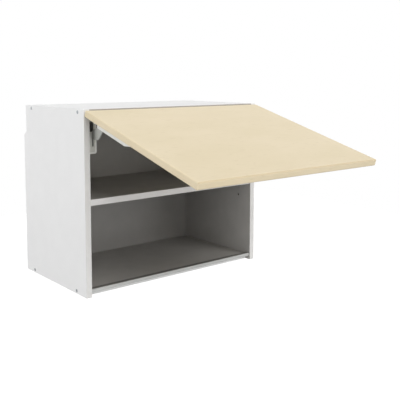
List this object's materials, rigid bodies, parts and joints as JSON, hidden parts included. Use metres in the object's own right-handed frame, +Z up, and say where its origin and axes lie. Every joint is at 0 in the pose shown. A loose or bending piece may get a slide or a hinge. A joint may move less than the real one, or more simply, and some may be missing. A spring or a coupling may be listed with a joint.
{
  "type": "lift up wall cabinet",
  "caption": "Wall cabinet with a grey inside, one shelf and a cream door that swings up on concealed hinges and is held by stay lifts in the upper corners",
  "frame": {"origin": "on the wall plane, midway between the side panels, level with their lower ends", "axes": "X to the right seen from the front, Y towards the wall, Z up; the door stands open by 74 degrees at rest"},
  "size_m": [0.6, 0.8001, 0.49],
  "materials": {
    "melamine_white": "white melamine-faced particleboard, satin outside, grey inside",
    "melamine_grey": "grey melamine-faced particleboard, satin",
    "back_board": "grey lacquered hardboard, satin",
    "edge_band": "white plastic edge band, satin",
    "edge_band_grey": "warm grey plastic edge band, satin",
    "strip_profile": "extruded aluminium, light grey powder coat, matt",
    "seal_lip": "soft dark grey seal, matt",
    "blackened_steel": "blackened steel, matt",
    "beech": "fluted beech, raw",
    "zinc_steel": "zinc-plated pressed steel",
    "turned_steel": "turned steel, fine",
    "hanger_plastic": "moulded light grey plastic",
    "door_foil": "fibreboard wrapped in cream foil, satin",
    "buffer_plastic": "soft clear-grey buffer",
    "bracket_paint": "light grey powder-coated steel",
    "cover_plastic": "moulded grey plastic, fine texture",
    "link_paint": "grey coated steel plate, satin",
    "carriage_plastic": "moulded grey nylon",
    "spring_steel": "oiled spring steel wire"
  },
  "bodies": {
    "carcass": {"side_panel_left": "melamine_white", "side_panel_right": "melamine_white", "top_panel": "melamine_white", "bottom_panel": "melamine_white", "back_panel": "back_board", "shelf": "melamine_grey", "edge_band_side_left": "edge_band", "edge_band_side_right": "edge_band", "edge_band_top": "edge_band_grey", "edge_band_shelf": "edge_band", "edge_band_bottom": "edge_band", "bottom_front_strip": "strip_profile", "bottom_seal_lip": "seal_lip", "confirmat_screws": "zinc_steel", "wooden_dowels": "beech", "shelf_supports": "zinc_steel", "hanger_housing_left": "hanger_plastic", "hanger_housing_right": "hanger_plastic", "hanger_hook_left": "zinc_steel", "hanger_hook_right": "zinc_steel", "hanger_adjusting_screws": "zinc_steel", "hanger_fixing_screws": "zinc_steel", "hinge_mounting_plates": "zinc_steel", "hinge_plate_screws": "zinc_steel", "hinge_arm_left": "zinc_steel", "hinge_arm_right": "zinc_steel", "hinge_arm_screws": "blackened_steel", "lift_base_left": "zinc_steel", "lift_base_right": "zinc_steel", "lift_cover_left": "cover_plastic", "lift_cover_right": "cover_plastic", "lift_fixing_screws": "zinc_steel", "lift_pivot_pins": "turned_steel", "lift_springs_left": "spring_steel", "lift_springs_right": "spring_steel", "spring_abutments": "carriage_plastic", "tension_screws": "blackened_steel"},
    "door": {"door_panel": "door_foil", "door_buffers": "buffer_plastic", "hinge_cup_left": "zinc_steel", "hinge_cup_right": "zinc_steel", "hinge_cup_screws": "zinc_steel", "hinge_pins": "turned_steel", "door_bracket_left": "bracket_paint", "door_bracket_right": "bracket_paint", "door_bracket_screws": "zinc_steel", "door_bracket_pins": "turned_steel"},
    "lift_lever_left": {"lift_lever_left": "zinc_steel", "link_pin_left": "turned_steel"},
    "lift_lever_right": {"lift_lever_right": "zinc_steel", "link_pin_right": "turned_steel"},
    "lift_link_left": {"lift_link_left": "link_paint"},
    "lift_link_right": {"lift_link_right": "link_paint"},
    "spring_carriage_left": {"spring_carriage_left": "carriage_plastic"},
    "spring_carriage_right": {"spring_carriage_right": "carriage_plastic"}
  },
  "joints": [
    {"name": "door_hinge", "type": "hinge", "parent": "carcass", "child": "door", "pos_m": [0, -0.36, 0.4762], "axis": [-1, 0, 0], "range_deg": [-74, 30]},
    {"name": "lever_pivot_left", "type": "hinge", "parent": "carcass", "child": "lift_lever_left", "pos_m": [-0.271, -0.282, 0.447], "axis": [-1, 0, 0], "range_deg": [-74, 30]},
    {"name": "link_pivot_left", "type": "hinge", "parent": "lift_lever_left", "child": "lift_link_left", "pos_m": [-0.266, -0.31603, 0.42164], "axis": [-1, 0, 0], "range_deg": [-30, 74]},
    {"name": "carriage_slide_left", "type": "slide", "parent": "carcass", "child": "spring_carriage_left", "axis": [0, 1, 0], "range_m": [-0.0035, 0.0086], "deforming": ["lift_springs_left"]},
    {"name": "lever_pivot_right", "type": "hinge", "parent": "carcass", "child": "lift_lever_right", "pos_m": [0.271, -0.282, 0.447], "axis": [-1, 0, 0], "range_deg": [-74, 30]},
    {"name": "link_pivot_right", "type": "hinge", "parent": "lift_lever_right", "child": "lift_link_right", "pos_m": [0.266, -0.31603, 0.42164], "axis": [-1, 0, 0], "range_deg": [-30, 74]},
    {"name": "carriage_slide_right", "type": "slide", "parent": "carcass", "child": "spring_carriage_right", "axis": [0, 1, 0], "range_m": [-0.0035, 0.0086], "deforming": ["lift_springs_right"]}
  ],
  "couplings": [
    {"joint": "lever_pivot_left", "follows": "door_hinge", "ratio": 1},
    {"joint": "link_pivot_left", "follows": "door_hinge", "ratio": -1},
    {"joint": "carriage_slide_left", "follows": "door_hinge", "m_per_rad": -0.0066111},
    {"joint": "lever_pivot_right", "follows": "door_hinge", "ratio": 1},
    {"joint": "link_pivot_right", "follows": "door_hinge", "ratio": -1},
    {"joint": "carriage_slide_right", "follows": "door_hinge", "m_per_rad": -0.0066111}
  ]
}
